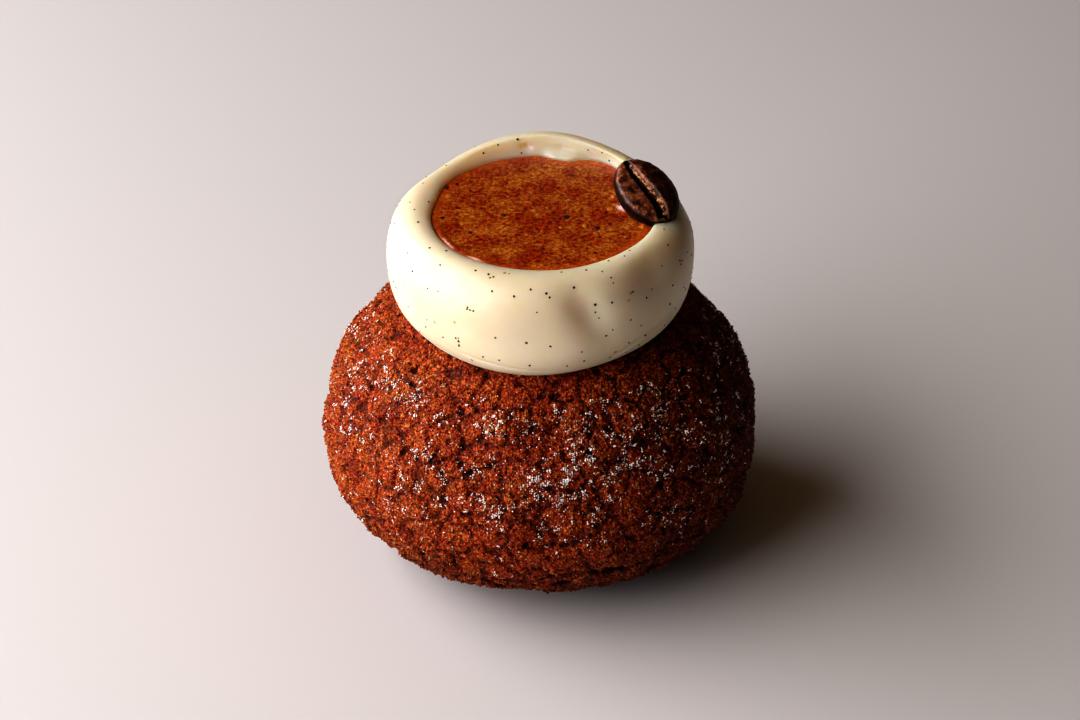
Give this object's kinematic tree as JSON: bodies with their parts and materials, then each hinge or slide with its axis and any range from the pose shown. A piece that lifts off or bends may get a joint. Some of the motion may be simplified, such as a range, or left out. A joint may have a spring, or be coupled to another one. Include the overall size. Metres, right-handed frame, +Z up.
{
  "type": "cream puff",
  "caption": "Round craquelin choux bun dusted with sugar, topped with a thick ring of vanilla cream that holds a praline pool and a coffee bean.",
  "frame": {"origin": "centre of the bottom of the bounding box, on the bun's flat underside", "axes": "+Z up, -Y towards the front, +X to the right as seen from the front"},
  "size_m": [0.0684, 0.0684, 0.0639],
  "materials": {
    "choux_bun": "browned craquelin crust, dry and crumbly, dusted with powdered sugar",
    "vanilla_cream": "smooth ivory cream with a soft gloss and dark vanilla seeds",
    "praline_pool": "wet glossy caramel-brown praline with darker and lighter specks",
    "coffee_bean": "dark roasted coffee bean with a slight oily sheen and pale chaff in its crease"
  },
  "bodies": {
    "root": {"choux_bun": "choux_bun", "vanilla_cream": "vanilla_cream", "praline_pool": "praline_pool", "coffee_bean": "coffee_bean"}
  },
  "joints": []
}
